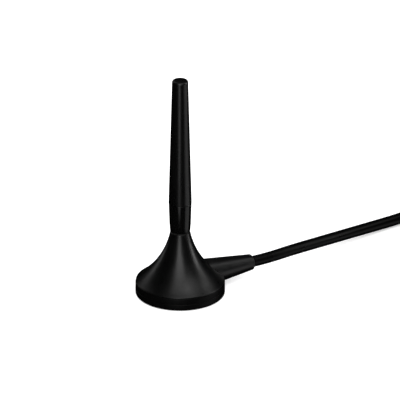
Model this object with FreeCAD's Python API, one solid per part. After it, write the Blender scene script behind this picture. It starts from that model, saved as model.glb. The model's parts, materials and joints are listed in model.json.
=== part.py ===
import FreeCAD, Part
import math
import os

# Magnetic-mount whip antenna of a cellular signal booster, with its coaxial lead.
# Millimetres, +Z up, origin at the centre of the underside, lead leaving along +X.

Vector = FreeCAD.Vector

# ------------------------------------------------------------------ driving sizes
TOTAL_H = 101.6            # floor to the top of the mast
RIM_R = 19.5               # rubber ring round the base
NECK_R = 4.4               # top of the flared skirt
NECK_Z = 29.3
CABLE_D = 4.95             # RG58 class coaxial cable
CABLE_R = CABLE_D / 2

# ------------------------------------------------------------------ base
PAD_T = 0.8                # soft pad under the magnet
PAD_R = 17.8
RIM_BOTTOM = 0.2           # the ring stays just off the roof
RIM_TOP = 5.9
RIM_EDGE = 0.6             # rounding of the ring's two outer edges
SLEEVE_R = 18.0            # outside of the skirt's upright wall, inside of the ring
SKIRT_INNER_R = 16.6       # inside of the upright wall
LIP_R = 19.3               # the skirt's lip over the ring
LIP_Z = 6.3
FLARE_HALF_TURN = math.radians(21.5)
WALL = 1.7                 # skirt wall measured across the flare
CEILING_Z = 20.5           # top of the hollow inside the skirt

CUP_R = 13.0               # steel cup that holds the magnet
CUP_WALL = 0.7
CUP_TOP = 4.2
CUP_ROOF = 0.6
MAGNET_R = 12.2
PLATE_T = 0.3              # ground plate lying on the cup
PLATE_R = 12.8
EAR_W = 4.6                # screw ears of the cup
EAR_R = 16.3
SCREW_PCR = 14.85
SCREW_ANGLES = (60, 180, 300)
SCREW_R = 0.8
SCREW_TIP_Z = 7.6
HEAD_R = 1.45
HEAD_H = 1.2
BOSS_R = 1.7
BOSS_COVER = 0.4           # skirt left above a screw boss

# ------------------------------------------------------------------ feed and mast
SOCKET_R = 3.0             # brass socket moulded into the neck
SOCKET_BOTTOM = 16.5
BORE_R = 2.06              # tapped M4, drawn as a plain bore
BORE_BOTTOM = 20.3
CUP_PIN_R = 1.2            # solder cup under the socket
CUP_PIN_BORE = 0.5
CUP_PIN_BOTTOM = 13.2
SEAL_T = 0.5
SEAL_R = 4.25
SEAL_BORE = 2.4
STUD_R = 2.0               # M4 stud, drawn as a plain cylinder
STUD_BOTTOM = 21.0
STUD_TOP = 34.5
COLLAR_Z = NECK_Z + SEAL_T
COLLAR_TOP = 43.2
COLLAR_FOOT_R = 4.4
COLLAR_WAIST_R = 4.65
COLLAR_TOP_R = 5.0
SPIGOT_R = 3.2             # the collar's spigot inside the sheath
SPIGOT_TOP = 48.5
SHEATH_FOOT_R = 5.05
SHEATH_TOP_R = 3.5
SHEATH_EDGE = 0.9
SHEATH_BORE_R = 2.9
SHEATH_TIP_BORE_R = 2.2
SHEATH_STEP_Z = 79.0
SHEATH_ROOF = 2.5
ROD_R = 0.8
FORMER_R = 1.9
FORMER_Z = (56.0, 76.0)
ROD_SOCKET = 2.5           # how far each rod enters the former
WIRE_R = 0.28
WINDING_PITCH = 2.0
WINDING_TURNS = 6
POINTS_A_TURN = 16
WINDING_R = FORMER_R + WIRE_R + 0.04
ROD_TOP = 97.5
SPACER_H = 3.0

# ------------------------------------------------------------------ cable entry
ENTRY_Z = 6.75             # height of the lead's axis
BOOT_IN = 11.6             # inner end of the strain relief
BOOT_OUT = 35.4            # outer end, where the lead comes free
BOOT_OUT_R = 3.45
BOOT_SLOPE = 0.12          # growth of its radius towards the base
BRAID_R = 1.8
CORE_R = 1.475
WIRE_CORE_R = 0.45
JACKET_END = 14.3          # where the jacket is stripped back to
BRAID_END = 9.0
CORE_END = 7.8
FEED_BEND_R = 3.0
ANCHOR_X = (16.0, 20.0)    # crimped ring moulded into the strain relief
ANCHOR_R = 3.1
SOLDER_SIZE = (1.4, 2.9, 2.6)

# ------------------------------------------------------------------ lead and coil
TIE_T = 0.8                # the tied coil rests on its straps
ROW_Z = CABLE_R + TIE_T    # axis of the coil's lowest turns
ROWS = 4
ROW_RISE = 5.0
COIL_X, COIL_Y = 156.0, -22.6
TURN_IN_R = 21.5           # axis of the innermost and outermost turns
TURN_OUT_R = 39.2
COIL_EDGE = 2.0
ENTRY_X = 134.0            # where the free stretch meets the coil
TIE_ANGLES = (0, 180)
TIE_SPAN = 16              # degrees of the coil that a strap covers

# The free stretch: straight out of the strain relief, sinking to the floor, then to the coil.
ROUTE = [
    (BOOT_OUT, 0.0, ENTRY_Z),
    (43.0, 0.0, ENTRY_Z),
    (57.0, 2.5, 6.6),
    (75.0, 6.5, 5.3),
    (93.0, 10.9, 3.8),
    (108.0, 14.1, 2.8),
    (118.0, 15.7, 2.5),
    (127.0, COIL_Y + TURN_OUT_R, ROW_Z),
    (ENTRY_X, COIL_Y + TURN_OUT_R, ROW_Z),
]

# ------------------------------------------------------------------ plug (SMA male), along its own +X
PLUG_R = 33.0              # where its sleeve starts, from the coil's centre
PLUG_HEADING = 155.0       # degrees from +X: along the coil, turned a little inwards
COIL_TOP = TIE_T + (ROWS - 1) * ROW_RISE + CABLE_D
NUT_AF = 8.0
NUT_CORNER_R = NUT_AF / 2 / math.cos(math.radians(30))
PLUG_Z = COIL_TOP + NUT_CORNER_R + 0.4
TAIL_BACK = 12.0           # the lead's last straight before the sleeve
TAIL_IN = 12.0             # and inside it
SLEEVE_END = 20.0
SLEEVE_STEP = 10.5
SHRINK_T = 0.45
FERRULE_X = (10.5, 19.3)
FERRULE_R = 3.15
SPIGOT_X = 12.2            # start of the body's crimping spigot
FLANGE_X = (20.2, 23.0)
FLANGE_R = 3.7
SHELL_R = 2.3              # outer conductor
SHELL_END = 28.5           # reference plane
NECK_OUT_R = 2.65          # journal that the nut turns on
NUT_X = (23.4, 32.4)
NUT_CLEAR = 0.08
NUT_BORE_R = 3.0           # tapped 1/4-36, drawn as a plain bore
NUT_REAR_WALL = 1.4
RING_X = (25.0, 25.6)
RING_R = (2.35, 3.1)       # snap ring, held in the body's groove
GASKET_X = (26.4, 27.2)
PTFE_R = 1.95
PIN_R = 0.46
PIN_X = (15.0, 31.1)


# ------------------------------------------------------------------ helpers
def save(name, shape):
    if not shape.isValid():
        raise ValueError(name + " is not valid")
    shape.exportStep(os.path.join("parts", name + ".step"))


def turned(start, *steps):
    """Solid turned about Z from an outline in (radius, height).

    A step is a point for a straight line, or a (middle, end) pair of points for an arc."""
    edges = []
    here = start
    for step in steps + (start,):
        if isinstance(step[0], tuple):
            middle, end = step
            curve = Part.Arc(*[Vector(r, 0, z) for r, z in (here, middle, end)])
        else:
            end = step
            curve = Part.LineSegment(Vector(here[0], 0, here[1]), Vector(end[0], 0, end[1]))
        edges.append(curve.toShape())
        here = end
    face = Part.Face(Part.Wire(edges))
    return face.revolve(Vector(0, 0, 0), Vector(0, 0, 1), 360)


def ring(inner_r, outer_r, low, high):
    """Tube, or a plain cylinder where inner_r is 0."""
    outer = Part.makeCylinder(outer_r, high - low, Vector(0, 0, low))
    if inner_r == 0:
        return outer
    return outer.cut(Part.makeCylinder(inner_r, high - low, Vector(0, 0, low)))


def lay(shape, origin=(0, 0, 0), heading=0.0):
    """Turn a shape's +Z to a level direction, heading degrees from +X, and move it to origin."""
    level = FreeCAD.Rotation(Vector(0, 0, 1), heading).multiply(FreeCAD.Rotation(Vector(0, 1, 0), 90))
    laid = shape.copy()
    laid.Placement = FreeCAD.Placement(Vector(*origin), level)
    return laid


def around(shape, angle, centre=(0, 0, 0)):
    turned_copy = shape.copy()
    turned_copy.rotate(Vector(*centre), Vector(0, 0, 1), angle)
    return turned_copy


def flare_arc(offset):
    """Centre and radius of the flare, or of the skirt's inside at that offset from it."""
    low, high = Vector(LIP_R, 0, LIP_Z), Vector(NECK_R, 0, NECK_Z)
    chord = high.sub(low)
    radius = chord.Length / 2 / math.sin(FLARE_HALF_TURN)
    outward = Vector(chord.z, 0, -chord.x).normalize()
    centre = low.add(high).multiply(0.5).add(outward.multiply(radius * math.cos(FLARE_HALF_TURN)))
    return centre.x, centre.z, radius + offset


def flare_r(z, offset=0.0):
    cr, cz, radius = flare_arc(offset)
    return cr - math.sqrt(radius ** 2 - (cz - z) ** 2)


def flare_z(r, offset=0.0):
    cr, cz, radius = flare_arc(offset)
    return cz - math.sqrt(radius ** 2 - (cr - r) ** 2)


def union(shapes):
    return shapes[0].multiFuse(shapes[1:]).removeSplitter()


def joined(shapes):
    return Part.makeCompound(shapes)


# ------------------------------------------------------------------ base
def boot_cone():
    """The strain relief's outside, from its inner end to its outer end."""
    inner_r = BOOT_OUT_R + BOOT_SLOPE * (BOOT_OUT - BOOT_IN)
    cone = Part.makeCone(inner_r, BOOT_OUT_R, BOOT_OUT - BOOT_IN, Vector(0, 0, BOOT_IN))
    return lay(cone, (0, 0, ENTRY_Z))


def screw_places(shape):
    return [around(shape, angle) for angle in SCREW_ANGLES]


def base_skirt():
    mid_z = (LIP_Z + NECK_Z) / 2
    inner_top_r = flare_r(CEILING_Z, WALL)
    inner_foot_z = flare_z(SKIRT_INNER_R, WALL)
    inner_mid_z = (CEILING_Z + inner_foot_z) / 2
    shell = turned(
        (SLEEVE_R, PAD_T),
        (SLEEVE_R, RIM_TOP),
        (LIP_R, RIM_TOP),
        (LIP_R, LIP_Z),
        ((flare_r(mid_z), mid_z), (NECK_R, NECK_Z)),
        (SOCKET_R, NECK_Z),
        (SOCKET_R, CEILING_Z),
        (inner_top_r, CEILING_Z),
        ((flare_r(inner_mid_z, WALL), inner_mid_z), (SKIRT_INNER_R, inner_foot_z)),
        (SKIRT_INNER_R, PAD_T),
    )
    boss_top = flare_z(SCREW_PCR + BOSS_R) - BOSS_COVER
    boss = Part.makeCylinder(BOSS_R, boss_top - CUP_TOP, Vector(SCREW_PCR, 0, CUP_TOP))
    hole = Part.makeCylinder(SCREW_R, SCREW_TIP_Z - CUP_TOP, Vector(SCREW_PCR, 0, CUP_TOP))
    solid = union([shell] + screw_places(boss))
    return solid.cut(joined(screw_places(hole))).cut(boot_cone())


def rim_ring():
    outline = turned(
        (SLEEVE_R, RIM_BOTTOM),
        (RIM_R - RIM_EDGE, RIM_BOTTOM),
        ((RIM_R - 0.3 * RIM_EDGE, RIM_BOTTOM + 0.3 * RIM_EDGE), (RIM_R, RIM_BOTTOM + RIM_EDGE)),
        (RIM_R, RIM_TOP - RIM_EDGE),
        ((RIM_R - 0.3 * RIM_EDGE, RIM_TOP - 0.3 * RIM_EDGE), (RIM_R - RIM_EDGE, RIM_TOP)),
        (SLEEVE_R, RIM_TOP),
    )
    return outline.cut(boot_cone())


def base_pad():
    return ring(0, PAD_R, 0, PAD_T)


def magnet_cup():
    shell = turned(
        (CUP_R, PAD_T),
        (CUP_R, CUP_TOP),
        (0, CUP_TOP),
        (0, CUP_TOP - CUP_ROOF),
        (CUP_R - CUP_WALL, CUP_TOP - CUP_ROOF),
        (CUP_R - CUP_WALL, PAD_T),
    )
    tab = Part.makeBox(EAR_R - CUP_R + 2, EAR_W, CUP_ROOF, Vector(CUP_R - 2, -EAR_W / 2, CUP_TOP - CUP_ROOF))
    tab = tab.common(Part.makeCylinder(EAR_R, CUP_TOP))
    hole = Part.makeCylinder(SCREW_R, CUP_TOP, Vector(SCREW_PCR, 0, 0))
    return union([shell] + screw_places(tab)).cut(joined(screw_places(hole)))


def magnet():
    return ring(0, MAGNET_R, PAD_T, CUP_TOP - CUP_ROOF)


def ground_plate():
    return ring(0, PLATE_R, CUP_TOP, CUP_TOP + PLATE_T)


def cup_screws():
    seat = CUP_TOP - CUP_ROOF
    head = turned((0, seat - HEAD_H), (HEAD_R * 0.7, seat - HEAD_H), (HEAD_R, seat - HEAD_H * 0.5),
                  (HEAD_R, seat), (SCREW_R, seat), (SCREW_R, SCREW_TIP_Z - 0.6), (0.2, SCREW_TIP_Z),
                  (0, SCREW_TIP_Z))
    slot = Part.makeBox(2 * HEAD_R, 0.35, 0.5, Vector(-HEAD_R, -0.175, seat - HEAD_H))
    screw = head.cut(slot).cut(around(slot, 90))
    screw.translate(Vector(SCREW_PCR, 0, 0))
    return joined(screw_places(screw))


# ------------------------------------------------------------------ feed through the neck
def feed_socket():
    return turned(
        (0, SOCKET_BOTTOM + 2),
        (CUP_PIN_BORE, SOCKET_BOTTOM),
        (CUP_PIN_BORE, CUP_PIN_BOTTOM),
        (CUP_PIN_R, CUP_PIN_BOTTOM),
        (CUP_PIN_R, SOCKET_BOTTOM),
        (SOCKET_R, SOCKET_BOTTOM),
        (SOCKET_R, NECK_Z),
        (BORE_R, NECK_Z),
        (BORE_R, BORE_BOTTOM),
        (0, BORE_BOTTOM),
    )


def feed_solder():
    """The fillet under the socket's solder cup."""
    return turned((WIRE_CORE_R, CUP_PIN_BOTTOM - 0.9), (CUP_PIN_R, CUP_PIN_BOTTOM),
                  (WIRE_CORE_R, CUP_PIN_BOTTOM))


def coax_conductor():
    """Along the lead's axis, bent up under the neck and into the solder cup."""
    bend_x = FEED_BEND_R
    bend_z = ENTRY_Z + FEED_BEND_R
    half = FEED_BEND_R * (1 - math.sqrt(0.5))
    path = Part.Wire([
        Part.LineSegment(Vector(BOOT_OUT, 0, ENTRY_Z), Vector(bend_x, 0, ENTRY_Z)).toShape(),
        Part.Arc(Vector(bend_x, 0, ENTRY_Z), Vector(half, 0, ENTRY_Z + half), Vector(0, 0, bend_z)).toShape(),
        Part.LineSegment(Vector(0, 0, bend_z), Vector(0, 0, SOCKET_BOTTOM - 0.8)).toShape(),
    ])
    return swept(path, WIRE_CORE_R)


def coax_dielectric():
    return lay(ring(WIRE_CORE_R, CORE_R, CORE_END, BOOT_OUT), (0, 0, ENTRY_Z))


def coax_braid():
    return lay(ring(CORE_R, BRAID_R, BRAID_END, BOOT_OUT), (0, 0, ENTRY_Z))


def coax_jacket():
    return lay(ring(BRAID_R, CABLE_R, JACKET_END, BOOT_OUT), (0, 0, ENTRY_Z))


def ground_solder():
    """Joint between the braid and the ground plate."""
    drop = Part.makeSphere(1)
    stretch = FreeCAD.Matrix()
    stretch.scale(*SOLDER_SIZE)
    drop = drop.transformGeometry(stretch)
    drop.translate(Vector(BRAID_END + SOLDER_SIZE[0], 0, CUP_TOP + PLATE_T))
    above = Part.makeBox(6, 8, 6, Vector(BRAID_END - 1, -4, CUP_TOP + PLATE_T))
    return drop.common(above).cut(lay(ring(0, BRAID_R, 0, BOOT_OUT), (0, 0, ENTRY_Z)))


def anchor_ring():
    return lay(ring(CABLE_R, ANCHOR_R, *ANCHOR_X), (0, 0, ENTRY_Z))


def cable_boot():
    clear = 0.1
    over_cup = Part.makeCylinder(CUP_R + 2 * clear, CUP_TOP + PLATE_T + clear)
    over_pad = Part.makeCylinder(SLEEVE_R, PAD_T + clear / 2)
    bore = lay(ring(0, CABLE_R, 0, BOOT_OUT), (0, 0, ENTRY_Z))
    anchor = lay(ring(0, ANCHOR_R, *ANCHOR_X), (0, 0, ENTRY_Z))
    return boot_cone().cut(joined([over_cup, over_pad])).cut(bore).cut(anchor)


# ------------------------------------------------------------------ mast
def neck_seal():
    return ring(SEAL_BORE, SEAL_R, NECK_Z, COLLAR_Z)


def mast_stud():
    chamfer = 0.5
    return turned((0, STUD_BOTTOM), (STUD_R - chamfer, STUD_BOTTOM), (STUD_R, STUD_BOTTOM + chamfer),
                  (STUD_R, STUD_TOP), (0, STUD_TOP))


def mast_collar():
    waist_z = COLLAR_Z + 3.2
    return turned(
        (STUD_R, COLLAR_Z),
        (COLLAR_FOOT_R - 0.3, COLLAR_Z),
        (COLLAR_FOOT_R, COLLAR_Z + 0.3),
        (COLLAR_WAIST_R, waist_z),
        (COLLAR_TOP_R, COLLAR_TOP - 0.2),
        (COLLAR_TOP_R - 0.2, COLLAR_TOP),
        (SPIGOT_R, COLLAR_TOP),
        (SPIGOT_R, SPIGOT_TOP),
        (ROD_R, SPIGOT_TOP),
        (ROD_R, STUD_TOP),
        (STUD_R, STUD_TOP),
    )


def mast_sheath():
    slope = (SHEATH_FOOT_R - SHEATH_TOP_R) / (TOTAL_H - COLLAR_TOP)
    edge_z = TOTAL_H - SHEATH_EDGE
    edge_r = SHEATH_TOP_R + slope * SHEATH_EDGE
    return turned(
        (SPIGOT_R, COLLAR_TOP),
        (SHEATH_FOOT_R - 0.15, COLLAR_TOP),
        (SHEATH_FOOT_R, COLLAR_TOP + 0.15),
        (edge_r, edge_z),
        ((edge_r - 0.3 * SHEATH_EDGE, TOTAL_H - 0.3 * SHEATH_EDGE), (edge_r - SHEATH_EDGE, TOTAL_H)),
        (0, TOTAL_H),
        (0, TOTAL_H - SHEATH_ROOF),
        (SHEATH_TIP_BORE_R, TOTAL_H - SHEATH_ROOF),
        (SHEATH_TIP_BORE_R, SHEATH_STEP_Z),
        (SHEATH_BORE_R, SHEATH_STEP_Z - 1),
        (SHEATH_BORE_R, SPIGOT_TOP),
        (SPIGOT_R, SPIGOT_TOP),
    )


def lower_rod():
    return ring(0, ROD_R, STUD_TOP, FORMER_Z[0] + ROD_SOCKET)


def upper_rod():
    return ring(0, ROD_R, FORMER_Z[1] - ROD_SOCKET, ROD_TOP)


def coil_former():
    low, high = FORMER_Z
    return ring(0, FORMER_R, low, high).cut(joined([lower_rod(), upper_rod()]))


def phasing_coil():
    start_z = (sum(FORMER_Z) - WINDING_PITCH * WINDING_TURNS) / 2
    helix = Part.BSplineCurve()
    helix.interpolate([
        Vector(WINDING_R * math.cos(2 * math.pi * turn), WINDING_R * math.sin(2 * math.pi * turn),
               start_z + WINDING_PITCH * turn)
        for turn in [step / POINTS_A_TURN for step in range(WINDING_TURNS * POINTS_A_TURN + 1)]])
    return swept(Part.Wire(helix.toShape()), WIRE_R)


def rod_spacer():
    return ring(ROD_R, SHEATH_TIP_BORE_R, ROD_TOP - SPACER_H, ROD_TOP)


# ------------------------------------------------------------------ lead
def swept(path, radius):
    """Round bar along a wire, checked against its section times its length."""
    first = path.OrderedEdges[0]
    start = first.valueAt(first.FirstParameter)
    section = Part.Wire(Part.makeCircle(radius, start, first.tangentAt(first.FirstParameter)))
    solid = path.makePipeShell([section], True, False)
    wanted = math.pi * radius ** 2 * path.Length
    if abs(solid.Volume / wanted - 1) > 0.01:
        raise ValueError("swept volume %.1f, wanted %.1f" % (solid.Volume, wanted))
    return solid


def rounded_path(points):
    """Straight runs joined by tangent arcs, each as large as its two runs allow."""
    corners = [Vector(*p) for p in points]
    edges = []
    here = corners[0]
    for before, corner, after in zip(corners, corners[1:], corners[2:]):
        back = before.sub(corner)
        on = after.sub(corner)
        turn = math.pi - back.getAngle(on)
        reach = 0.45 * min(back.Length, on.Length)
        radius = reach / math.tan(turn / 2)
        print("bend of %.1f degrees, radius %.1f mm" % (math.degrees(turn), radius))
        back.normalize()
        on.normalize()
        arc_start = corner.add(back * reach)
        arc_end = corner.add(on * reach)
        inward = (back + on).normalize()
        middle = corner.add(inward * (radius / math.cos(turn / 2) - radius))
        edges.append(Part.LineSegment(here, arc_start).toShape())
        edges.append(Part.Arc(arc_start, middle, arc_end).toShape())
        here = arc_end
    edges.append(Part.LineSegment(here, corners[-1]).toShape())
    return Part.Wire(edges)


def feed_cable():
    path = rounded_path(ROUTE)
    print("free stretch %.1f mm" % path.Length)
    return swept(path, CABLE_R)


def coil_section(margin):
    """Corners of the coil's cross-section, in (distance from its centre, height), grown by margin."""
    low_r, high_r = TURN_IN_R - CABLE_R - margin, TURN_OUT_R + CABLE_R + margin
    low_z, high_z = TIE_T - margin, COIL_TOP + margin
    edge = COIL_EDGE + margin
    return [
        (low_r + edge, low_z), (high_r - edge, low_z), (high_r, low_z + edge), (high_r, high_z - edge),
        (high_r - edge, high_z), (low_r + edge, high_z), (low_r, high_z - edge), (low_r, low_z + edge),
    ]


def section_face(margin):
    corners = [Vector(r, 0, z) for r, z in coil_section(margin)]
    return Part.Face(Part.makePolygon(corners + corners[:1]))


def plug_start():
    """Where the sleeve starts: on the coil's top, at the side facing -Y."""
    return (COIL_X, COIL_Y - PLUG_R, PLUG_Z)


def cable_coil():
    """Outer shape of the wound turns, with the lead's way in and the straight end that holds the plug."""
    winding = section_face(0).revolve(Vector(0, 0, 0), Vector(0, 0, 1), 360)
    winding.translate(Vector(COIL_X, COIL_Y, 0))
    way_in = lay(ring(0, CABLE_R, 0, COIL_X - ENTRY_X), (ENTRY_X, COIL_Y + TURN_OUT_R, ROW_Z))
    end = ring(0, CABLE_R, -TAIL_BACK, TAIL_IN)
    rest_h = PLUG_Z - COIL_TOP + 1
    rest = Part.makeBox(rest_h, CABLE_D, TAIL_BACK, Vector(0, -CABLE_R, -TAIL_BACK))
    return union([winding, way_in, lay(end, plug_start(), PLUG_HEADING), lay(rest, plug_start(), PLUG_HEADING)])


def cable_ties():
    """Hook-and-loop straps round the turns."""
    straps = []
    for angle in TIE_ANGLES:
        band = section_face(TIE_T).cut(section_face(0))
        band.rotate(Vector(0, 0, 0), Vector(0, 0, 1), angle - TIE_SPAN / 2)
        strap = band.revolve(Vector(0, 0, 0), Vector(0, 0, 1), TIE_SPAN)
        strap.translate(Vector(COIL_X, COIL_Y, 0))
        straps.extend(strap.Solids)
    return joined(straps)


# ------------------------------------------------------------------ plug, along +Z until it is laid
def on_plug(shape):
    return lay(shape, plug_start(), PLUG_HEADING)


def plug_sleeve():
    """Heat-shrink sleeve over the lead and the ferrule."""
    cable_out = CABLE_R + SHRINK_T
    ferrule_out = FERRULE_R + SHRINK_T
    return on_plug(turned(
        (CABLE_R, 0),
        (cable_out, 0),
        (cable_out, SLEEVE_STEP - 1),
        (ferrule_out, SLEEVE_STEP),
        (ferrule_out, SLEEVE_END),
        (FERRULE_R, SLEEVE_END),
        (FERRULE_R, SLEEVE_STEP),
        (CABLE_R, SLEEVE_STEP),
    ))


def crimp_ferrule():
    return on_plug(ring(CABLE_R, FERRULE_R, *FERRULE_X))


def plug_body():
    groove_low, groove_high = RING_X
    return on_plug(turned(
        (PTFE_R, SHELL_END),
        (SHELL_R, SHELL_END),
        (SHELL_R, GASKET_X[0]),
        (NECK_OUT_R, GASKET_X[0]),
        (NECK_OUT_R, groove_high),
        (RING_R[0], groove_high),
        (RING_R[0], groove_low),
        (NECK_OUT_R, groove_low),
        (NECK_OUT_R, FLANGE_X[1]),
        (FLANGE_R, FLANGE_X[1]),
        (FLANGE_R, FLANGE_X[0]),
        (CABLE_R, FLANGE_X[0]),
        (CABLE_R, SPIGOT_X),
        (CORE_R, SPIGOT_X),
        (CORE_R, FLANGE_X[0]),
        (PTFE_R, FLANGE_X[0]),
    ))


def plug_insulator():
    return on_plug(ring(PIN_R, PTFE_R, FLANGE_X[0], SHELL_END))


def plug_pin():
    tip = PIN_X[1]
    return on_plug(turned((0, PIN_X[0]), (PIN_R, PIN_X[0]), (PIN_R, tip - 0.5), (PIN_R / 2, tip), (0, tip)))


def plug_ring():
    """Split snap ring in the body's groove, which keeps the nut on."""
    hoop = ring(*RING_R, *RING_X)
    gap = Part.makeBox(RING_R[1] + 1, 1.2, 2, Vector(0, -0.6, RING_X[0] - 0.5))
    return on_plug(hoop.cut(gap))


def plug_gasket():
    return on_plug(ring(SHELL_R, NUT_BORE_R - 0.3, *GASKET_X))


def plug_nut():
    low, high = NUT_X
    rear = low + NUT_REAR_WALL
    hexagon = [Vector(NUT_CORNER_R * math.cos(math.radians(a)), NUT_CORNER_R * math.sin(math.radians(a)), low)
               for a in range(0, 361, 60)]
    bar = Part.Face(Part.makePolygon(hexagon)).extrude(Vector(0, 0, high - low))
    chamfer = turned((0, low), (NUT_AF / 2, low), (NUT_CORNER_R, low + 0.6), (NUT_CORNER_R, high - 0.6),
                     (NUT_AF / 2, high), (0, high))
    ring_room_r = RING_R[1] + 0.15
    bore = turned((0, low), (NECK_OUT_R + NUT_CLEAR, low), (NECK_OUT_R + NUT_CLEAR, rear), (ring_room_r, rear),
                  (ring_room_r, RING_X[1] + 0.2), (NUT_BORE_R, RING_X[1] + 0.4), (NUT_BORE_R, high), (0, high))
    return on_plug(bar.common(chamfer).cut(bore))


NODES = [
    base_skirt, rim_ring, base_pad, magnet_cup, magnet, ground_plate, cup_screws,
    feed_socket, feed_solder, coax_conductor, coax_dielectric, coax_braid, coax_jacket,
    ground_solder, anchor_ring, cable_boot,
    neck_seal, mast_stud, mast_collar, mast_sheath, lower_rod, upper_rod, coil_former, phasing_coil,
    rod_spacer,
    feed_cable, cable_coil, cable_ties,
    plug_sleeve, crimp_ferrule, plug_body, plug_insulator, plug_pin, plug_ring, plug_gasket, plug_nut,
]

os.makedirs("parts", exist_ok=True)
for make in NODES:
    save(make.__name__, make())
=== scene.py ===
import json
import math

import bmesh
import bpy
from mathutils import Matrix, Vector


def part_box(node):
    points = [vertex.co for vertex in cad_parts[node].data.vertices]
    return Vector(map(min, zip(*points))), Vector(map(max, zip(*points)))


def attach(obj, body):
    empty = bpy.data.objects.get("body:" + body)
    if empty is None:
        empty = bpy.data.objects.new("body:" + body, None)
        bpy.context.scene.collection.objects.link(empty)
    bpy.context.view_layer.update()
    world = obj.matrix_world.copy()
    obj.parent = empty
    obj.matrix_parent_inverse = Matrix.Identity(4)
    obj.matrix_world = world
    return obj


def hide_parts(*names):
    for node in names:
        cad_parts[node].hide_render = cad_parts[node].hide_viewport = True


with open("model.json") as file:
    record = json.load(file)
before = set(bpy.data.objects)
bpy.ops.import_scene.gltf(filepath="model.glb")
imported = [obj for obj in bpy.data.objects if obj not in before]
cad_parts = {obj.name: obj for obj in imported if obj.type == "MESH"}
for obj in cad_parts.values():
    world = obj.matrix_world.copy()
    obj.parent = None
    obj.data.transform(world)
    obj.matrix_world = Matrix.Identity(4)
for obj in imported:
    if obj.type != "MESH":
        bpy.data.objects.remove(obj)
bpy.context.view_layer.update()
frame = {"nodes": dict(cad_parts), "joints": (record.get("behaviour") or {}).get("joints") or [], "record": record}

# Magnetic-mount whip antenna with its coaxial lead. Metres, in the CAD frame.
MM = 0.001


# ------------------------------------------------------------------ sizes read from the frame
def low(node):
    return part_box(node)[0].z


def high(node):
    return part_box(node)[1].z


def radius(node):
    """Radius of a node that is turned about Z."""
    lo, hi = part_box(node)
    return (hi.y - lo.y) / 2


RIM_R = radius("rim_ring")
RIM_TOP = high("rim_ring")
LIP_R = radius("base_skirt")
LIP_Z = RIM_TOP + 0.4 * MM
NECK_Z = high("base_skirt")
NECK_R = 4.4 * MM
SLEEVE_R = LIP_R - 1.3 * MM          # the skirt's upright wall, inside the rubber ring
SLEEVE_WALL = 1.4 * MM
FLARE_HALF_TURN = math.radians(21.5)
WALL = 1.7 * MM                      # of the skirt, across the flare
CEILING_Z = 20.5 * MM                # top of the hollow in the skirt
SPIGOT_R = 3.2 * MM                  # the collar's spigot inside the mast's sleeve

ENTRY_Z = 6.75 * MM
BOOT_LO, BOOT_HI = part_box("cable_boot")
BOOT_END_R = 3.45 * MM
BOOT_SLOPE = 0.12                    # growth of the strain relief's radius towards the base
BOOT_ROOT_R = BOOT_END_R + BOOT_SLOPE * (BOOT_HI.x - BOOT_LO.x)
CABLE_R = radius("coax_jacket")
CABLE_D = 2 * CABLE_R

TIE_LO, TIE_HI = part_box("cable_ties")
COIL_CENTRE = Vector(((TIE_LO.x + TIE_HI.x) / 2, (TIE_LO.y + TIE_HI.y) / 2, 0))
ROW_RISE = 5.0 * MM
ROWS = 4
TURN_IN_R = 21.5 * MM                # axis of the innermost and outermost turns
TURN_OUT_R = 39.2 * MM
TIE_T = 0.8 * MM                     # the coil rests on its straps
ROW_Z = CABLE_R + TIE_T
COIL_TOP = TIE_T + (ROWS - 1) * ROW_RISE + CABLE_D

nut_joint = next(j for j in frame["joints"] if j["name"] == "nut_spin")
NUT_JOINT_AT = 28.0 * MM             # along the plug, from the start of its sleeve
PLUG_AXIS = Vector(nut_joint["axis"])
PLUG_START = Vector(nut_joint["pos_m"]) - PLUG_AXIS * NUT_JOINT_AT

# ------------------------------------------------------------------ camera
VIEW_AZIMUTH, VIEW_ELEVATION = math.radians(-28.6), math.radians(25.1)
VIEW_WIDTH = 174.1 * MM              # what the picture's width spans at the mast
AIM_RIGHT, AIM_UP = 8.62 * MM, 40.2 * MM
CAMERA_DISTANCE = 8.0


def towards(azimuth, elevation):
    """Unit vector from the part to a viewer or a light; azimuth 0 is the -Y side."""
    return Vector((math.sin(azimuth) * math.cos(elevation), -math.cos(azimuth) * math.cos(elevation),
                   math.sin(elevation)))


def make_camera():
    back = towards(VIEW_AZIMUTH, VIEW_ELEVATION)
    right = Vector((math.cos(VIEW_AZIMUTH), math.sin(VIEW_AZIMUTH), 0))
    up = back.cross(right)
    data = bpy.data.cameras.new("camera")
    data.sensor_width = 36.0
    data.lens = data.sensor_width * CAMERA_DISTANCE / VIEW_WIDTH
    camera = bpy.data.objects.new("camera", data)
    camera.location = right * AIM_RIGHT + up * AIM_UP + back * CAMERA_DISTANCE
    camera.rotation_mode = "QUATERNION"
    camera.rotation_quaternion = back.to_track_quat("Z", "Y")
    bpy.context.scene.collection.objects.link(camera)
    bpy.context.scene.camera = camera


# ------------------------------------------------------------------ the lead's route
# From the strain relief to the coil, in millimetres
FREE_STRETCH = [
    (35.4, 0.0, 6.75),
    (43.0, 0.0, 6.75),
    (57.0, 2.5, 6.6),
    (75.0, 6.5, 5.3),
    (93.0, 10.9, 3.8),
    (108.0, 14.1, 2.8),
    (118.0, 15.7, 2.5),
    (127.0, 16.6, 3.275),
    (134.0, 16.6, 3.275),
]
TURNS_A_ROW = 3.5
TURNS_A_SHIFT = 0.35                 # climbing to the next row
TURNS_OF_TAIL = 0.45
TAIL_BEND = 0.36                     # share of the tail that bends towards the plug
TAIL_IN = 7.0 * MM
LIFT_FROM, LIFT_TURNS = 3.24, 0.42   # where the last turn leaves the top row for the plug's height
POINTS_A_TURN = 20
INTO_PLUG = (0.0, 6.0, 12.0)         # the lead's last points, millimetres along the plug


def smooth(t):
    t = min(max(t, 0.0), 1.0)
    return t * t * (3 - 2 * t)


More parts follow.
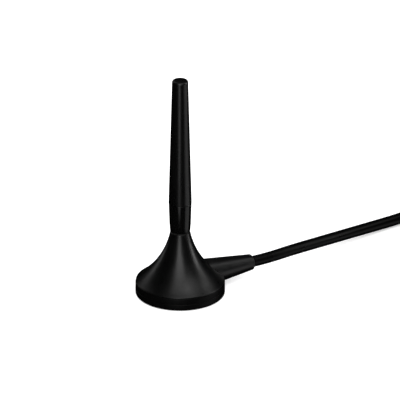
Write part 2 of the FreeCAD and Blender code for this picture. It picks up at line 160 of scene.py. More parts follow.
def coil_place(turn):
    """Radius and height of the winding after so many turns."""
    leg = TURNS_A_ROW + TURNS_A_SHIFT
    row = min(int(turn / leg), ROWS - 1)
    here = turn - row * leg
    across = min(here / TURNS_A_ROW, 1.0)
    inward = row % 2 == 0
    start, end = (TURN_OUT_R, TURN_IN_R) if inward else (TURN_IN_R, TURN_OUT_R)
    r = start + (end - start) * across
    z = ROW_Z + row * ROW_RISE
    if row < ROWS - 1:
        return r, z + ROW_RISE * smooth((here - TURNS_A_ROW) / TURNS_A_SHIFT)
    tail = max(here - TURNS_A_ROW, 0.0) / TURNS_OF_TAIL
    bend = max(tail - 1 + TAIL_BEND, 0.0) / TAIL_BEND
    return r - TAIL_IN * bend ** 2, z + (PLUG_START.z - z) * smooth((here - LIFT_FROM) / LIFT_TURNS)


def coil_points():
    """The winding, clockwise from the coil's +Y side, as control points of the lead's spline."""
    total = ROWS * TURNS_A_ROW + (ROWS - 1) * TURNS_A_SHIFT + TURNS_OF_TAIL
    steps = round(total * POINTS_A_TURN)
    outset = 1 / math.cos(math.pi / POINTS_A_TURN)      # the spline runs inside its control points
    points = []
    for step in range(steps):
        turn = total * step / steps
        r, z = coil_place(turn)
        angle = math.pi / 2 - 2 * math.pi * turn
        points.append(COIL_CENTRE + Vector((r * outset * math.cos(angle), r * outset * math.sin(angle), z)))
    return points


def lead_points():
    free = [Vector(p) * MM for p in FREE_STRETCH]
    into_plug = [PLUG_START + PLUG_AXIS * d * MM for d in INTO_PLUG]
    return free + coil_points() + into_plug


def make_lead():
    curve = bpy.data.curves.new("coax_lead", "CURVE")
    curve.dimensions = "3D"
    curve.bevel_depth = CABLE_R
    curve.bevel_resolution = 6
    curve.resolution_u = 6
    curve.use_fill_caps = True
    spline = curve.splines.new("NURBS")
    points = lead_points()
    spline.points.add(len(points) - 1)
    for slot, point in zip(spline.points, points):
        slot.co = (*point, 1.0)
    spline.order_u = 3
    spline.use_endpoint_u = True
    lead = bpy.data.objects.new("coax_lead", curve)
    bpy.context.scene.collection.objects.link(lead)
    return lead


# ------------------------------------------------------------------ mesh helpers
SEGMENTS = 144
ON_AXIS = 1e-7                       # a smaller radius counts as the axis


def outline(corners, closed=False, steps=5):
    """Points of a profile in (radius, height); a corner's third number rounds it by that radius."""
    places = [Vector(c[:2]) for c in corners]
    count = len(corners)
    points = []
    for i, corner in enumerate(corners):
        here = places[i]
        inner = closed or 0 < i < count - 1
        if len(corner) < 3 or not inner:
            points.append(here)
            continue
        before = (places[i - 1] - here).normalized()
        after = (places[(i + 1) % count] - here).normalized()
        half = before.angle(after) / 2
        reach = corner[2] / math.tan(half)
        centre = here + (before + after).normalized() * (corner[2] / math.sin(half))
        first = here + before * reach
        last = here + after * reach
        for step in range(steps + 1):
            arm = (first - centre).lerp(last - centre, step / steps)
            points.append(centre + arm.normalized() * corner[2])
    return points


def lathe(name, points, closed=False, segments=SEGMENTS, place=None, shape=None):
    """Mesh turned about Z from a profile. shape(radius, height, angle) may change a point's radius."""
    shape = shape or (lambda r, h, angle: r)
    angles = [2 * math.pi * i / segments for i in range(segments)]
    builder = bmesh.new()
    rings = []
    for r, h in points:
        if r < ON_AXIS:
            rings.append([builder.verts.new((0, 0, h))] * segments)
            continue
        rings.append([builder.verts.new((shape(r, h, a) * math.cos(a), shape(r, h, a) * math.sin(a), h))
                      for a in angles])
    pairs = list(zip(rings, rings[1:]))
    if closed:
        pairs.append((rings[-1], rings[0]))
    for lower, upper in pairs:
        for i in range(segments):
            j = (i + 1) % segments
            corners = list(dict.fromkeys([lower[i], lower[j], upper[j], upper[i]]))
            if len(corners) > 2:
                builder.faces.new(corners)
    bmesh.ops.recalc_face_normals(builder, faces=builder.faces)
    return to_mesh(name, builder, place)


def prism(name, points, bottom, top, place=None):
    """Mesh of a closed outline in (x, y), drawn up from one height to another."""
    builder = bmesh.new()
    floor_ring, roof_ring = [[builder.verts.new((*p, h)) for p in points] for h in (bottom, top)]
    for i, corner in enumerate(floor_ring):
        builder.faces.new([floor_ring[i - 1], corner, roof_ring[i], roof_ring[i - 1]])
    builder.faces.new(floor_ring)
    builder.faces.new(roof_ring)
    bmesh.ops.recalc_face_normals(builder, faces=builder.faces)
    return to_mesh(name, builder, place)


def to_mesh(name, builder, place=None):
    mesh = bpy.data.meshes.new(name)
    builder.to_mesh(mesh)
    builder.free()
    if place is not None:
        mesh.transform(place)
    return mesh


def shade(mesh, sharp_degrees=35):
    mesh.shade_smooth()
    mesh.set_sharp_from_angle(angle=math.radians(sharp_degrees))


def add_object(name, data):
    thing = bpy.data.objects.new(name, data)
    bpy.context.scene.collection.objects.link(thing)
    return thing


def boolean(mesh, cutter_mesh, operation="DIFFERENCE"):
    """The mesh after a boolean with another mesh."""
    body = add_object("boolean_body", mesh)
    cutter = add_object("boolean_cutter", cutter_mesh)
    modifier = body.modifiers.new("cut", "BOOLEAN")
    modifier.operation = operation
    modifier.solver = "EXACT"
    modifier.object = cutter
    bpy.context.view_layer.update()
    result = bpy.data.meshes.new_from_object(body.evaluated_get(bpy.context.evaluated_depsgraph_get()))
    result.name = mesh.name
    for thing in (body, cutter):
        bpy.data.objects.remove(thing)
    return result


def piece(name, mesh, body, slot, replaced, sharp_degrees=35):
    """An object that rides on a body, takes its finish from a slot and stands for CAD nodes."""
    mesh.name = name
    shade(mesh, sharp_degrees)
    mesh.materials.clear()
    mesh.materials.append(FINISHES[slot])
    thing = add_object(name, mesh)
    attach(thing, body)
    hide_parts(*replaced)
    return thing


def along(origin, axis):
    """Matrix that takes +Z to a level axis at origin."""
    return Matrix.Translation(origin) @ axis.to_track_quat("Z", "Y").to_matrix().to_4x4()


BOOT_PLACE = along(Vector((0, 0, ENTRY_Z)), Vector((1, 0, 0)))
PLUG_PLACE = along(PLUG_START, PLUG_AXIS)


# ------------------------------------------------------------------ materials
FINISHES = {}                        # each material by its name, which is the slot's too
NOISE_RANGE = (0.3, 0.7)             # where nearly all of a noise's values lie


def nodes_of(name):
    """Node tree and shader of a new material."""
    material = bpy.data.materials.new(name)
    material.use_nodes = True
    FINISHES[name] = material
    tree = material.node_tree
    return tree, tree.nodes["Principled BSDF"]


def noise(tree, scale, detail=3.0, roughness=0.5, stretch=(1, 1, 1)):
    """Noise whose cells are scale metres across; stretch draws them out along an axis."""
    coordinates = tree.nodes.new("ShaderNodeTexCoord")
    mapping = tree.nodes.new("ShaderNodeMapping")
    mapping.inputs["Scale"].default_value = [1 / scale / s for s in stretch]
    texture = tree.nodes.new("ShaderNodeTexNoise")
    texture.inputs["Scale"].default_value = 1.0
    texture.inputs["Detail"].default_value = detail
    texture.inputs["Roughness"].default_value = roughness
    tree.links.new(coordinates.outputs["Object"], mapping.inputs["Vector"])
    tree.links.new(mapping.outputs["Vector"], texture.inputs["Vector"])
    return texture.outputs["Fac"]


def spread(tree, value, low_value, high_value, source=NOISE_RANGE):
    """A value of one range, stretched to another."""
    node = tree.nodes.new("ShaderNodeMapRange")
    node.inputs["From Min"].default_value, node.inputs["From Max"].default_value = source
    node.inputs["To Min"].default_value = low_value
    node.inputs["To Max"].default_value = high_value
    tree.links.new(value, node.inputs["Value"])
    return node.outputs["Result"]


def two_tone(tree, value, first, second):
    ramp = tree.nodes.new("ShaderNodeValToRGB")
    for stop, position, colour in zip(ramp.color_ramp.elements, NOISE_RANGE, (first, second)):
        stop.position = position
        stop.color = (*colour, 1)
    tree.links.new(value, ramp.inputs["Fac"])
    return ramp.outputs["Color"]


def bump(tree, heights):
    """Chain of bumps from (height value, depth in metres) pairs."""
    normal = None
    for value, depth in heights:
        node = tree.nodes.new("ShaderNodeBump")
        node.inputs["Strength"].default_value = 1.0
        node.inputs["Distance"].default_value = depth
        tree.links.new(value, node.inputs["Height"])
        if normal is not None:
            tree.links.new(normal, node.inputs["Normal"])
        normal = node.outputs["Normal"]
    return normal


def moulded(name, dark, light, rough, grain, depth, specular=0.5, blotch=4 * MM, stretch=(1, 1, 1)):
    """Moulded plastic or rubber: uneven between two colours and two roughnesses, with a fine grain."""
    tree, shader = nodes_of(name)
    uneven = noise(tree, blotch, 4.0, 0.6, stretch)
    fine = noise(tree, grain, 2.0, stretch=stretch)
    tree.links.new(two_tone(tree, uneven, dark, light), shader.inputs["Base Color"])
    tree.links.new(spread(tree, uneven, rough[0], rough[1]), shader.inputs["Roughness"])
    tree.links.new(bump(tree, [(fine, depth)]), shader.inputs["Normal"])
    shader.inputs["Specular IOR Level"].default_value = specular


def metal(name, dark, light, rough, line, depth):
    """Turned or plated metal: fine tool lines, uneven gloss and a little tarnish."""
    tree, shader = nodes_of(name)
    uneven = noise(tree, 2.5 * MM, 4.0, 0.6)
    lines = noise(tree, line, 2.0)
    tree.links.new(two_tone(tree, uneven, dark, light), shader.inputs["Base Color"])
    tree.links.new(spread(tree, uneven, rough[0], rough[1]), shader.inputs["Roughness"])
    tree.links.new(bump(tree, [(lines, depth)]), shader.inputs["Normal"])
    shader.inputs["Metallic"].default_value = 1.0


def woven(name, dark, light, thread, depth, across, up, rough=0.85):
    """Two crossing sets of threads, each thread metres wide, along the directions across and up."""
    tree, shader = nodes_of(name)
    coordinates = tree.nodes.new("ShaderNodeTexCoord")
    waves = []
    for direction in (across, up):
        product = tree.nodes.new("ShaderNodeVectorMath")
        product.operation = "DOT_PRODUCT"
        product.inputs[1].default_value = Vector(direction).normalized() * (math.pi / thread)
        tree.links.new(coordinates.outputs["Object"], product.inputs[0])
        sine = tree.nodes.new("ShaderNodeMath")
        sine.operation = "SINE"
        tree.links.new(product.outputs["Value"], sine.inputs[0])
        waves.append(sine.outputs[0])
    crossing = tree.nodes.new("ShaderNodeMath")
    crossing.operation = "MULTIPLY"
    tree.links.new(waves[0], crossing.inputs[0])
    tree.links.new(waves[1], crossing.inputs[1])
    fuzz = noise(tree, thread / 3, 3.0, 0.7)
    height = spread(tree, crossing.outputs[0], 0.0, 1.0, (-1.0, 1.0))
    # the colour follows the threads' height: the hollows between threads take the darker colour, which is painted
    # shade, and the raised threads the lighter
    tree.links.new(two_tone(tree, height, dark, light), shader.inputs["Base Color"])
    tree.links.new(bump(tree, [(height, depth), (fuzz, depth / 3)]), shader.inputs["Normal"])
    shader.inputs["Roughness"].default_value = rough


def grey(level):
    return (level, level, level)


moulded("skirt_plastic", grey(0.0009), grey(0.0013), (0.27, 0.33), 0.16 * MM, 0.002 * MM)
moulded("sheath_plastic", grey(0.0009), grey(0.0013), (0.26, 0.30), 0.14 * MM, 0.002 * MM,
        stretch=(1, 1, 5))
moulded("collar_black", grey(0.0009), grey(0.0011), (0.15, 0.18), 0.10 * MM, 0.001 * MM, specular=0.4)
moulded("rim_rubber", grey(0.0009), grey(0.0013), (0.36, 0.44), 0.20 * MM, 0.006 * MM, specular=0.09)
moulded("pad_rubber", grey(0.008), grey(0.014), (0.70, 0.85), 0.35 * MM, 0.030 * MM, specular=0.3)
moulded("boot_rubber", grey(0.0010), grey(0.0015), (0.30, 0.38), 0.18 * MM, 0.004 * MM)
moulded("cable_jacket", grey(0.0010), grey(0.0015), (0.26, 0.33), 0.22 * MM, 0.003 * MM, specular=0.17,
        blotch=8 * MM)
moulded("shrink_sleeve", grey(0.006), grey(0.010), (0.42, 0.55), 0.30 * MM, 0.015 * MM)
moulded("seal_rubber", grey(0.004), grey(0.007), (0.60, 0.75), 0.15 * MM, 0.006 * MM, specular=0.3)
moulded("white_dielectric", (0.78, 0.78, 0.74), (0.86, 0.86, 0.83), (0.35, 0.50), 0.30 * MM, 0.004 * MM)
moulded("former_plastic", (0.55, 0.50, 0.36), (0.68, 0.62, 0.47), (0.45, 0.60), 0.12 * MM, 0.006 * MM,
        stretch=(1, 1, 8))
moulded("silicone_red", (0.36, 0.05, 0.02), (0.48, 0.08, 0.04), (0.45, 0.60), 0.25 * MM, 0.004 * MM)
metal("brass", (0.62, 0.43, 0.17), (0.80, 0.60, 0.28), (0.22, 0.40), 0.10 * MM, 0.003 * MM)
metal("gold_plating", (0.80, 0.56, 0.20), (0.95, 0.72, 0.33), (0.12, 0.22), 0.10 * MM, 0.001 * MM)
metal("nickel_plating", (0.68, 0.66, 0.62), (0.75, 0.73, 0.69), (0.26, 0.33), 0.12 * MM, 0.0006 * MM)
metal("zinc_steel", (0.42, 0.44, 0.47), (0.60, 0.62, 0.65), (0.30, 0.50), 0.30 * MM, 0.004 * MM)
metal("magnet_plating", (0.45, 0.45, 0.44), (0.60, 0.60, 0.58), (0.20, 0.35), 0.30 * MM, 0.002 * MM)
metal("solder", (0.48, 0.48, 0.50), (0.66, 0.66, 0.68), (0.25, 0.50), 0.40 * MM, 0.030 * MM)
metal("copper", (0.62, 0.27, 0.13), (0.82, 0.42, 0.24), (0.22, 0.38), 0.08 * MM, 0.002 * MM)
# in each weave the first colour is painted shade for the hollows between threads, the second the threads' own
# colour
woven("tinned_copper", (0.20, 0.19, 0.18), (0.70, 0.69, 0.67), 0.35 * MM, 0.08 * MM, (1, 0.7, 0.7),
      (1, -0.7, -0.7), rough=0.35)
woven("strap_fabric", grey(0.004), grey(0.014), 0.35 * MM, 0.06 * MM, (0, 1, 0), (1, 0, 1))


def finish_cad_nodes():
    """Every carried-over CAD node takes the material of its slot."""
    slots = {s["node"]: s["material_slot"] for s in frame["record"]["subparts"]}
    for name, node in frame["nodes"].items():
        material = FINISHES[slots[name]]
        for place in node.material_slots:
            place.material = material
        if not node.material_slots:
            node.data.materials.append(material)


# ------------------------------------------------------------------ base
BASE_SEGMENTS = 192


def flare(offset=0.0, count=40, from_r=None, to_z=None):
    """Points up the skirt's flare, or up its inside at that offset."""
    foot, top = Vector((LIP_R, LIP_Z)), Vector((NECK_R, NECK_Z))
    chord = top - foot
    bend = chord.length / 2 / math.sin(FLARE_HALF_TURN)
    outward = Vector((chord.y, -chord.x)).normalized()
    centre = (foot + top) / 2 + outward * bend * math.cos(FLARE_HALF_TURN)
    bend += offset
    start_r = from_r or LIP_R
    end_z = to_z or NECK_Z
    start = math.acos((centre.x - start_r) / bend)
    end = math.asin((centre.y - end_z) / bend)
    angles = [start + (end - start) * i / count for i in range(count + 1)]
    return [Vector((centre.x - bend * math.cos(a), centre.y - bend * math.sin(a))) for a in angles]


def boot_cone(grow):
    """The strain relief's outside, grown a little, as a closed cone along +X."""
    start, end = BOOT_LO.x, BOOT_HI.x
    points = [(0, start), (BOOT_ROOT_R + grow, start), (BOOT_END_R + grow, end), (0, end)]
    return lathe("boot_cutter", points, segments=96, place=BOOT_PLACE)


def make_skirt():
    bottom = low("base_skirt")
    socket_r = radius("feed_socket")
    inner_r = SLEEVE_R - SLEEVE_WALL
    draft = 0.02 * MM                # the lip's edge spreads a little downwards
    flank = flare()
    inside = flare(WALL, 20, inner_r, CEILING_Z)
    lip = outline([(SLEEVE_R, RIM_TOP), (LIP_R + draft, RIM_TOP, 0.12 * MM), (LIP_R, LIP_Z, 0.15 * MM),
                   tuple(flank[1])])
    neck = outline([tuple(flank[-2]), (NECK_R, NECK_Z, 0.2 * MM), (socket_r, NECK_Z)])
    points = [Vector((SLEEVE_R, bottom))] + lip[:-1] + flank[1:-1] + neck[1:]
    points += [Vector((socket_r, CEILING_Z))] + inside[::-1] + [Vector((inner_r, bottom))]
    mesh = lathe("base_skirt_shell", points, closed=True, segments=BASE_SEGMENTS)
    mesh = boolean(mesh, boot_cone(0.05 * MM))
    return piece("skirt_shell", mesh, "base", "skirt_plastic", ["base_skirt"])


def make_rim():
    """Rubber ring with a fine groove round its middle."""
    bottom = low("rim_ring")
    middle = (RIM_TOP + bottom) / 2
    groove = 0.25 * MM
    points = outline([
        (SLEEVE_R, bottom),
        (RIM_R, bottom, 0.6 * MM),
        (RIM_R, middle - groove, 0.1 * MM),
        (RIM_R - groove, middle, 0.1 * MM),
        (RIM_R, middle + groove, 0.1 * MM),
        (RIM_R, RIM_TOP, 0.5 * MM),
        (SLEEVE_R, RIM_TOP),
    ], closed=True)
    mesh = lathe("rim_band", points, closed=True, segments=BASE_SEGMENTS)
    mesh = boolean(mesh, boot_cone(0.03 * MM))
    return piece("rim_band", mesh, "base", "rim_rubber", ["rim_ring"])


def make_pad():
    pad_r, top = radius("base_pad"), high("base_pad")
    points = outline([(0, 0), (pad_r, 0, 0.25 * MM), (pad_r, top), (0, top)])
    return piece("soft_pad", lathe("soft_pad", points), "base", "pad_rubber", ["base_pad"])


def make_boot():
    """Tapered strain relief, cut away inside the base to sit over the magnet's cup and the pad."""
    bore = CABLE_R + 0.02 * MM
    cup_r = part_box("magnet_cup")[1].x + 0.2 * MM
    cup_top, pad_top = high("ground_plate") + 0.1 * MM, high("base_pad") + 0.05 * MM
    profile = outline([
        (bore, BOOT_LO.x),
        (BOOT_ROOT_R, BOOT_LO.x),
        (BOOT_END_R, BOOT_HI.x, 0.6 * MM),
        (bore, BOOT_HI.x, 0.25 * MM),
    ], closed=True)
    mesh = lathe("strain_relief", profile, closed=True, segments=96, place=BOOT_PLACE)
    cup = lathe("cup_cutter", [(0, -MM), (cup_r, -MM), (cup_r, cup_top), (0, cup_top)])
    pad = lathe("pad_cutter", [(0, -MM), (SLEEVE_R, -MM), (SLEEVE_R, pad_top), (0, pad_top)])
    mesh = boolean(boolean(mesh, cup), pad)
    return piece("strain_relief", mesh, "base", "boot_rubber", ["cable_boot"])


# ------------------------------------------------------------------ mast
def make_seal():
    lo, hi = low("neck_seal"), high("neck_seal")
    outer, bore = radius("neck_seal"), 2.4 * MM
    points = outline([(bore, lo), (outer, lo, 0.15 * MM), (outer, hi, 0.15 * MM), (bore, hi)], closed=True)
    mesh = lathe("neck_washer", points, closed=True)
    return piece("neck_washer", mesh, "seal", "seal_rubber", ["neck_seal"])


def thread(pitch, depth, start, end):
    """Shape of a helical thread that takes up to its depth off the radius between two heights."""
    def shape(r, h, angle):
        if not start < h < end:
            return r
        phase = (h / pitch - angle / (2 * math.pi)) % 1.0
        fade = min((h - start) / pitch, (end - h) / pitch, 1.0)
        return r - depth * fade * abs(2 * phase - 1)
    return shape


STATIONS_A_PITCH = 8


def stations(r, start, end, pitch):
    """Closely spaced points up a threaded length."""
    count = round((end - start) / pitch * STATIONS_A_PITCH)
    return [Vector((r, start + (end - start) * i / count)) for i in range(count + 1)]


def make_stud():
    r, bottom, top = radius("mast_stud"), low("mast_stud"), high("mast_stud")
    pitch, depth, chamfer, gap = 0.7 * MM, 0.38 * MM, 0.5 * MM, 0.1 * MM
    thread_top = low("mast_collar") - 2 * gap
    points = outline([(0, bottom), (r - chamfer, bottom), (r, bottom + chamfer)])
    points += stations(r, bottom + chamfer + gap, thread_top, pitch)
    points += [Vector((r, thread_top + gap)), Vector((r, top)), Vector((0, top))]
    mesh = lathe("threaded_stud", points, segments=72, shape=thread(pitch, depth, bottom, thread_top))
    return piece("threaded_stud", mesh, "mast", "brass", ["mast_stud"], 25)


def make_collar():
    """Smooth collar: a flat foot, a soft waist, and a spigot that holds the lower rod."""
    stud_r, rod_r = radius("mast_stud"), radius("lower_rod")
    waist_r, top_r = 4.65 * MM, 5.0 * MM
    foot, top = low("mast_collar"), low("mast_sheath")
    waist_z = foot + 3.2 * MM
    spigot_top, stud_top = high("mast_collar"), high("mast_stud")
    points = outline([
        (stud_r, foot),
        (NECK_R, foot, 0.3 * MM),
        (waist_r, waist_z, 4.0 * MM),
        (top_r, top, 0.2 * MM),
        (SPIGOT_R, top),
        (SPIGOT_R, spigot_top, 0.3 * MM),
        (rod_r, spigot_top),
        (rod_r, stud_top),
        (stud_r, stud_top),
    ], closed=True)
    mesh = lathe("smooth_collar", points, closed=True)
    return piece("smooth_collar", mesh, "mast", "collar_black", ["mast_collar"])


def make_sheath():
    """Tapered sleeve with a rounded top, bored for the collar's spigot, the winding and the upper rod."""
    foot, top = low("mast_sheath"), high("mast_sheath")
    foot_r, top_r = radius("mast_sheath"), 3.52 * MM
    bore, tip_bore = 2.9 * MM, 2.2 * MM
    spigot_top, step, roof = high("mast_collar"), 79.0 * MM, top - 2.5 * MM
    points = outline([
        (0, top),
        (top_r, top, 0.9 * MM),
        (foot_r, foot, 0.18 * MM),
        (SPIGOT_R, foot),
        (SPIGOT_R, spigot_top),
        (bore, spigot_top),
        (bore, step - MM),
        (tip_bore, step),
        (tip_bore, roof),
        (0, roof),
    ], steps=8)
    mesh = lathe("mast_sleeve", points)
    return piece("mast_sleeve", mesh, "mast", "sheath_plastic", ["mast_sheath"])


# ------------------------------------------------------------------ plug, laid along its own axis
# Stations along the plug count from the start of its sleeve.
FERRULE_START, FERRULE_END = 10.5 * MM, 19.3 * MM
FERRULE_R = 3.15 * MM
FERRULE_FLATS = 6.0 * MM
SLEEVE_END = 20.0 * MM
SLEEVE_T = 0.45 * MM
BODY_START, FLANGE_START, FLANGE_END = 12.2 * MM, 20.2 * MM, 23.0 * MM
FLANGE_R, FLANGE_FLATS = 3.7 * MM, 6.5 * MM
JOURNAL_R = 2.65 * MM                # what the nut turns on
GROOVE_R, GROOVE_START, GROOVE_END = 2.35 * MM, 25.0 * MM, 25.6 * MM
GASKET_START, GASKET_END = 26.4 * MM, 27.2 * MM
SHELL_R, SHELL_END = 2.3 * MM, 28.5 * MM
CORE_R, PTFE_R = 1.475 * MM, 1.95 * MM
PIN_R, PIN_START, PIN_TAPER, PIN_END = 0.46 * MM, 15.0 * MM, 30.6 * MM, 31.1 * MM
NUT_START, NUT_END = 23.4 * MM, 32.4 * MM
NUT_FLATS = 8.0 * MM
NUT_PITCH = 25.4 * MM / 36


def hexagon(across_flats, from_r=0.0):
    """Shape that holds every radius beyond from_r to a hexagon."""
    def shape(r, h, angle):
        if r < from_r:
            return r
        turn = math.radians(60)
        off = (angle + turn / 2) % turn - turn / 2
        return min(r, across_flats / 2 / math.cos(off))
    return shape


def with_stations(profile, spacing):
    """The same closed profile with its long runs divided."""
    points = []
    for here, ahead in zip(profile, profile[1:] + profile[:1]):
        count = max(1, math.ceil((ahead - here).length / spacing))
        points += [here.lerp(ahead, i / count) for i in range(count)]
    return points


def plug_tube(name, inner, outer, start, end, edge, segments=72, shape=None):
    """Tube on the plug's axis, its two outer edges rounded."""
    profile = outline([(inner, start), (outer, start, edge), (outer, end, edge), (inner, end)], closed=True)
    return lathe(name, profile, closed=True, segments=segments, place=PLUG_PLACE, shape=shape)


def make_sleeve():
    """Heat-shrink sleeve, drawn down over the lead and the crimped ferrule."""
    bore = CABLE_R + 0.01 * MM
    crimp_flats, ripple_depth, ripple_length = 6.7 * MM, 0.04 * MM, 0.9 * MM
    profile = outline([
        (bore, 0),
        (CABLE_R + 0.8 * SLEEVE_T, 0, 0.15 * MM),
        (CABLE_R + SLEEVE_T, 7.0 * MM, 8 * MM),
        (FERRULE_R + SLEEVE_T, FERRULE_START, 1.6 * MM),
        (FERRULE_R + SLEEVE_T, SLEEVE_END, 0.2 * MM),
        (FERRULE_R, SLEEVE_END),
        (FERRULE_R, FERRULE_START),
        (bore, FERRULE_START),
    ], closed=True, steps=8)
    press = hexagon(crimp_flats)

    def shape(r, h, angle):
        shaped = r
        if r > FERRULE_R + 0.3 * MM:
            crimped = smooth((h - FERRULE_START - MM) / MM) * smooth((SLEEVE_END - MM - h) / MM)
            shaped += (press(r, h, angle) - r) * crimped
        if r > CABLE_R + 0.3 * MM:
            drawn = smooth((FERRULE_START - h) / (4 * MM))
            shaped += ripple_depth * math.sin(h / ripple_length + 2 * math.sin(angle)) * drawn
        return shaped

    mesh = lathe("shrink_tube", with_stations(profile, 0.5 * MM), closed=True, segments=96,
                 place=PLUG_PLACE, shape=shape)
    return piece("shrink_tube", mesh, "base", "shrink_sleeve", ["plug_sleeve"])


def make_ferrule():
    mesh = plug_tube("crimped_ferrule", CABLE_R, FERRULE_R, FERRULE_START, FERRULE_END, 0.15 * MM, 96,
                     hexagon(FERRULE_FLATS, CABLE_R + 0.1 * MM))
    return piece("crimped_ferrule", mesh, "base", "nickel_plating", ["crimp_ferrule"])


def make_plug_body():
    """Crimping spigot, hexagonal flange, the nut's journal with its groove, and the outer conductor."""
    profile = outline([
        (PTFE_R, SHELL_END),
        (SHELL_R, SHELL_END, 0.1 * MM),
        (SHELL_R, GASKET_START),
        (JOURNAL_R, GASKET_START, 0.1 * MM),
        (JOURNAL_R, GROOVE_END),
        (GROOVE_R, GROOVE_END),
        (GROOVE_R, GROOVE_START),
        (JOURNAL_R, GROOVE_START),
        (JOURNAL_R, FLANGE_END),
        (FLANGE_R, FLANGE_END, 0.25 * MM),
        (FLANGE_R, FLANGE_START, 0.25 * MM),
        (CABLE_R, FLANGE_START),
        (CABLE_R, BODY_START),
        (CORE_R, BODY_START),
        (CORE_R, FLANGE_START),
        (PTFE_R, FLANGE_START),
    ], closed=True)
    mesh = lathe("plug_shell", profile, closed=True, segments=96, place=PLUG_PLACE,
                 shape=hexagon(FLANGE_FLATS, JOURNAL_R + 0.2 * MM))
    return piece("plug_shell", mesh, "base", "nickel_plating", ["plug_body"])


def make_plug_pin():
    points = outline([
        (0, PIN_START),
        (PIN_R, PIN_START),
        (PIN_R, PIN_TAPER, 0.3 * MM),
        (PIN_R * 0.45, PIN_END, 0.1 * MM),
        (0, PIN_END),
    ])
    mesh = lathe("centre_pin", points, segments=48, place=PLUG_PLACE)
    return piece("centre_pin", mesh, "base", "gold_plating", ["plug_pin"])


def make_plug_insulator():
    profile = outline([
        (PIN_R, FLANGE_START),
        (PTFE_R, FLANGE_START),
        (PTFE_R, SHELL_END, 0.08 * MM),
        (PIN_R, SHELL_END, 0.08 * MM),
    ], closed=True)
    mesh = lathe("ptfe_bead", profile, closed=True, segments=72, place=PLUG_PLACE)
    return piece("ptfe_bead", mesh, "base", "white_dielectric", ["plug_insulator"])


def make_plug_gasket():
    mesh = plug_tube("face_gasket", SHELL_R, 2.7 * MM, GASKET_START, GASKET_END, 0.15 * MM)
    return piece("face_gasket", mesh, "base", "silicone_red", ["plug_gasket"])


def make_nut():
    """Hexagonal coupling nut, chamfered at both ends, with a cut thread inside."""
    corner = NUT_FLATS / 2 / math.cos(math.radians(30))
    journal, room, bore = 2.73 * MM, 3.25 * MM, 3.15 * MM
    room_start, room_end = NUT_START + 1.4 * MM, GASKET_START - 0.4 * MM
    thread_end = NUT_END - 0.3 * MM
    corners = [(corner * math.cos(a), corner * math.sin(a), 0.25 * MM)
               for a in [math.radians(30 + 60 * i) for i in range(6)]]
    bar = prism("coupling_nut", outline(corners, closed=True, steps=3), NUT_START, NUT_END)
    chamfer = lathe("nut_chamfer", [
        (0, NUT_START),
        (NUT_FLATS / 2 - 0.2 * MM, NUT_START),
        (corner, NUT_START + 0.6 * MM),
        (corner, NUT_END - 0.5 * MM),
        (NUT_FLATS / 2 - 0.1 * MM, NUT_END),
        (0, NUT_END),
    ])
    hollow = [(0, NUT_START - MM), (journal, NUT_START - MM), (journal, room_start), (room, room_start),
              (room, room_end)]
    hollow += stations(bore, GASKET_START, thread_end, NUT_PITCH)
    hollow += [(bore + 0.1 * MM, NUT_END), (bore + 0.1 * MM, NUT_END + MM), (0, NUT_END + MM)]
    cutter = lathe("nut_bore", hollow, shape=thread(NUT_PITCH, 0.32 * MM, GASKET_START, thread_end))
    mesh = boolean(boolean(bar, chamfer, "INTERSECT"), cutter)
    mesh.transform(PLUG_PLACE)
    return piece("coupling_nut", mesh, "plug_nut", "nickel_plating", ["plug_nut"], 25)


# ------------------------------------------------------------------ straps
STRAP_W = 9.0 * MM
STRAP_T = 0.65 * MM
STRAP_END_T = 0.35 * MM              # the overlapping end, pressed into the loops
STRAP_END_SHARE = 0.94               # and its width beside the band's
STRAP_EDGE_DROP = 0.12 * MM          # the bound edges are thinner
STRAP_COLUMNS = (-0.5, -0.46, -0.25, 0.0, 0.25, 0.46, 0.5)


def strap_path():
    """Rounded loop round the turns, in (distance from the coil's centre, height)."""
    gap = 0.1 * MM
    in_r, out_r = TURN_IN_R - CABLE_R - gap, TURN_OUT_R + CABLE_R + gap
    floor_z, top_z = TIE_T - gap, COIL_TOP + gap
    edge = 2.4 * MM
    corners = [(in_r, floor_z, edge), (out_r, floor_z, edge), (out_r, top_z, edge), (in_r, top_z, edge)]
    return outline(corners, closed=True, steps=8)


def make_straps():
    """Two hook-and-loop straps, each a closed band with its overlapping end on the coil's top."""
    loop = with_stations(strap_path(), 2.0 * MM)
    top = [p for p in loop if p.y > COIL_TOP and p.x > TURN_IN_R + 3 * MM]
    builder = bmesh.new()
    for angle in (0.0, math.pi):
        add_band(builder, loop, angle, STRAP_W, 0.0, STRAP_T, closed=True)
        add_band(builder, top, angle, STRAP_W * STRAP_END_SHARE, STRAP_T, STRAP_END_T, closed=False)
    bmesh.ops.recalc_face_normals(builder, faces=builder.faces)
    mesh = to_mesh("tie_straps", builder)
    return piece("tie_straps", mesh, "base", "strap_fabric", ["cable_ties"])


def facing_out(loop, i, closed):
    """Unit vector away from the turns at a point of the loop, or straight up on the overlapping end."""
    if not closed:
        return Vector((0, 1))
    run = (loop[(i + 1) % len(loop)] - loop[i - 1]).normalized()
    out = Vector((run.y, -run.x))
    middle = sum(loop, Vector((0, 0))) / len(loop)
    return -out if out.dot(loop[i] - middle) < 0 else out


def band_row(builder, here, out, angle, width, lift, thick):
    """Corners of the band at one point of its loop: the lower face's columns, then the upper face's."""
    row = []
    for side in (lift, lift + thick):
        for share in STRAP_COLUMNS:
            at_edge = abs(share) == 0.5 and side > lift
            r, z = here + out * (side - (STRAP_EDGE_DROP if at_edge else 0.0))
            a = angle + share * width / r
            place = COIL_CENTRE + Vector((r * math.cos(a), r * math.sin(a), z))
            row.append(builder.verts.new(place))
    return row


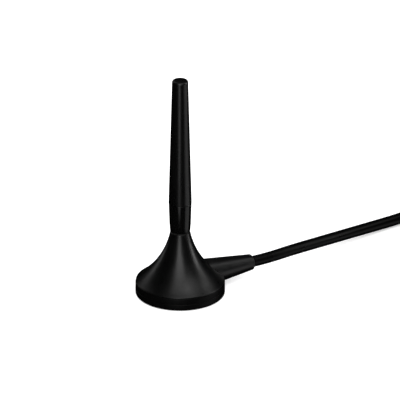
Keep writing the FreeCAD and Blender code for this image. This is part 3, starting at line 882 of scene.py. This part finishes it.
def add_band(builder, loop, angle, width, lift, thick, closed):
    """A band that follows a loop of the coil's section, curved with the coil across its width."""
    rows = [band_row(builder, here, facing_out(loop, i, closed), angle, width, lift, thick)
            for i, here in enumerate(loop)]
    n = len(STRAP_COLUMNS)
    border = list(range(n)) + list(range(2 * n - 1, n - 1, -1))
    pairs = list(zip(rows, rows[1:])) + ([(rows[-1], rows[0])] if closed else [])
    for first, second in pairs:
        for k, a in enumerate(border):
            b = border[(k + 1) % len(border)]
            builder.faces.new([first[a], first[b], second[b], second[a]])
    if not closed:
        for row in (rows[0], rows[-1]):
            for k in range(n - 1):
                builder.faces.new([row[k], row[k + 1], row[n + k + 1], row[n + k]])


# ------------------------------------------------------------------ stage
def plane(name, size):
    builder = bmesh.new()
    bmesh.ops.create_grid(builder, x_segments=1, y_segments=1, size=size / 2)
    return to_mesh(name, builder)


LIGHT_DISTANCE = 1.2
LIGHT_AIM_Z = 0.04


def softbox(name, azimuth, elevation, width, height, power):
    """Area light aimed low at the mast, its azimuth counted from the camera's."""
    back = towards(VIEW_AZIMUTH + math.radians(azimuth), math.radians(elevation))
    data = bpy.data.lights.new(name, "AREA")
    data.shape = "RECTANGLE"
    data.size, data.size_y = width, height
    data.energy = power
    light = add_object(name, data)
    light.location = Vector((0, 0, LIGHT_AIM_Z)) + back * LIGHT_DISTANCE
    light.rotation_mode = "QUATERNION"
    light.rotation_quaternion = back.to_track_quat("Z", "Y")
    light.visible_camera = False


# name, azimuth from the camera and elevation in degrees, width and height in metres, watts
STUDIO = [
    ("front_top", 4, 67, 0.80, 0.55, 1.6),
    ("front_high", -2, 38, 0.72, 0.64, 2.8),
    ("front_level", -6, 10, 0.50, 0.64, 2.1),
    ("front_low", -8, -15, 0.40, 0.38, 0.6),
    ("right_top", 58, 60, 0.55, 0.60, 1.0),
    ("right_high", 103, 38, 0.44, 0.64, 1.0),
    ("right_level", 96, 8, 0.30, 0.64, 2.2),
    ("right_low", 78, -22, 0.95, 0.64, 1.1),
    ("left_high", -130, 38, 0.30, 0.64, 0.25),
    ("left_level", -130, 8, 0.30, 0.64, 0.4),
    ("back_top", 176, 66, 0.80, 0.55, 0.5),
    ("back_high", -160, 38, 0.40, 0.64, 0.4),
    ("back_level", 160, 10, 0.50, 0.64, 0.08),
]

FLOOR_SIZE = 30.0
FLOOR_DROP = 0.02 * MM               # just under the part, so that no two faces share a plane
FLOOR_GLOW = 0.45


def make_floor():
    """White table. Its own glow keeps the shadow down to a thin line round what stands on it."""
    floor = add_object("floor", plane("floor", FLOOR_SIZE))
    floor.location = (0, 0, -FLOOR_DROP)
    _, shader = nodes_of("floor_white")
    shader.inputs["Base Color"].default_value = (0.9, 0.9, 0.9, 1)
    shader.inputs["Roughness"].default_value = 1.0
    shader.inputs["Specular IOR Level"].default_value = 0.0
    shader.inputs["Emission Color"].default_value = (1, 1, 1, 1)
    shader.inputs["Emission Strength"].default_value = FLOOR_GLOW
    floor.data.materials.append(FINISHES["floor_white"])
    floor.visible_glossy = False
    floor.visible_shadow = False


def make_world():
    """White surroundings that light the part but don't mirror in it: only the softboxes do."""
    world = bpy.data.worlds.new("studio")
    bpy.context.scene.world = world
    world.use_nodes = True
    world.node_tree.nodes["Background"].inputs["Color"].default_value = (1, 1, 1, 1)
    world.node_tree.nodes["Background"].inputs["Strength"].default_value = 1.0
    world.cycles_visibility.glossy = False
    bpy.context.scene.view_settings.view_transform = "Standard"


def make_stage():
    make_floor()
    make_world()
    for light in STUDIO:
        softbox(*light)


# ------------------------------------------------------------------ assembly
make_camera()
make_stage()
finish_cad_nodes()

lead = make_lead()
lead.data.materials.append(FINISHES["cable_jacket"])
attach(lead, "base")
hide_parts("feed_cable", "cable_coil")

make_skirt()
make_rim()
make_pad()
make_seal()
make_stud()
make_collar()
make_sheath()
on_lead = [make_boot(), make_straps(), make_sleeve(), make_ferrule(), make_plug_body(),
           make_plug_insulator(), make_plug_pin(), make_plug_gasket(), make_nut(),
           frame["nodes"]["plug_ring"]]

bpy.context.view_layer.update()
